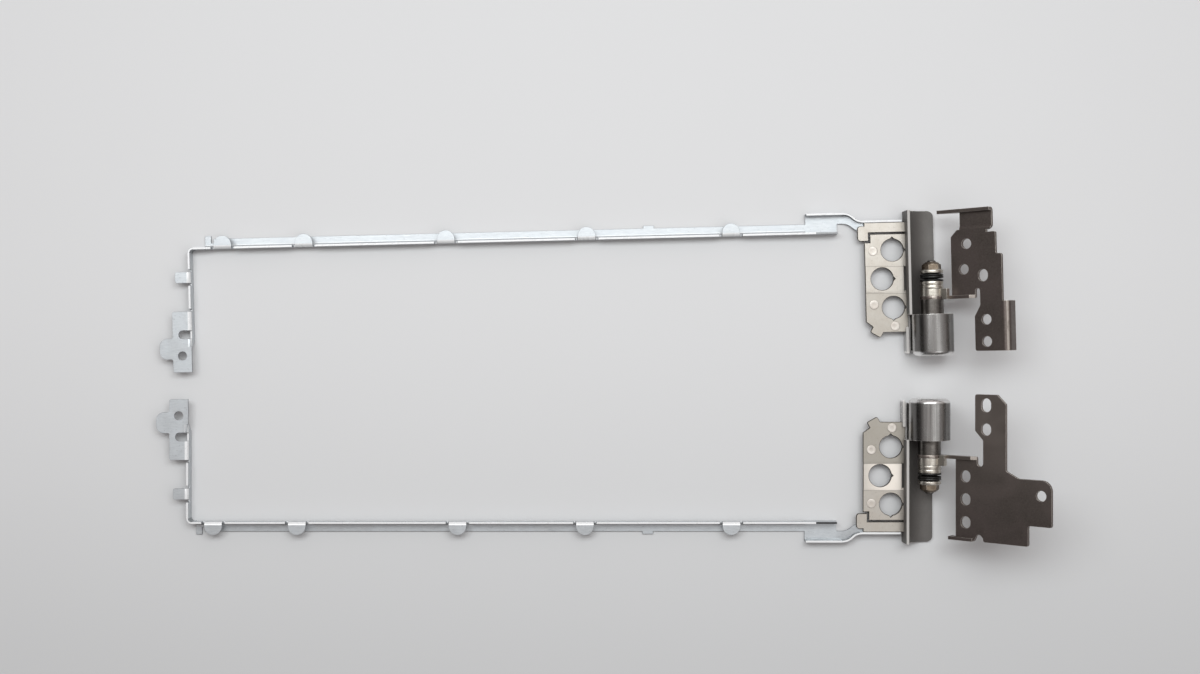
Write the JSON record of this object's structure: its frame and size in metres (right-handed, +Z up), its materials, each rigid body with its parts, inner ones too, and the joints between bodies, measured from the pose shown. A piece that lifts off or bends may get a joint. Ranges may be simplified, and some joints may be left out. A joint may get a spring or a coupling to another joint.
{
  "type": "laptop hinge pair",
  "caption": "Left and right laptop screen hinges with friction shafts: long folded rails for the screen's sides, lid plates on dark barrel covers and tilted dark base brackets with screw holes.",
  "frame": {"origin": "middle of the pair's bounding box at the table, which the rails and covers lie on", "axes": "+X along the screen rails towards the hinge shafts, +Y along the left hinge's shaft from the left hinge to the right one, +Z up from the table"},
  "size_m": [0.2588, 0.099, 0.0299],
  "materials": {
    "rail_steel": "bright zinc-plated sheet",
    "plate_nickel": "satin nickel-plated sheet, slightly warm",
    "cover_casting": "polished dark nickel on a casting",
    "rivet_steel": "upset flush heads",
    "shaft_steel": "turned, oiled and dark",
    "washer_steel": "turned, bright nickel",
    "spring_steel": "black oxide",
    "nut_steel": "dark bronze oxide, greased",
    "bracket_steel": "dark brown-black coating with worn bright edges"
  },
  "bodies": {
    "screen_side": {"right_screen_rail": "rail_steel", "right_lid_plate": "plate_nickel", "right_barrel_cover": "cover_casting", "right_plate_rivets": "rivet_steel", "right_hinge_shaft": "shaft_steel", "right_friction_ring": "washer_steel", "right_disc_springs": "spring_steel", "right_end_washer": "washer_steel", "right_lock_nut": "nut_steel", "left_screen_rail": "rail_steel", "left_lid_plate": "plate_nickel", "left_barrel_cover": "cover_casting", "left_plate_rivets": "rivet_steel", "left_hinge_shaft": "shaft_steel", "left_friction_ring": "washer_steel", "left_disc_springs": "spring_steel", "left_end_washer": "washer_steel", "left_lock_nut": "nut_steel"},
    "right_base": {"right_base_bracket": "bracket_steel", "right_tab_washer": "washer_steel"},
    "left_base": {"left_base_bracket": "bracket_steel", "left_tab_washer": "washer_steel"}
  },
  "joints": [
    {"name": "right_hinge", "type": "hinge", "parent": "screen_side", "child": "right_base", "pos_m": [0.10083, 0.0186, 0.0067], "axis": [0.0244, -0.9997, 0], "range_deg": [-42, 138]},
    {"name": "left_hinge", "type": "hinge", "parent": "screen_side", "child": "left_base", "pos_m": [0.09994, -0.0186, 0.0067], "axis": [0, -1, 0], "range_deg": [-42, 138]}
  ]
}
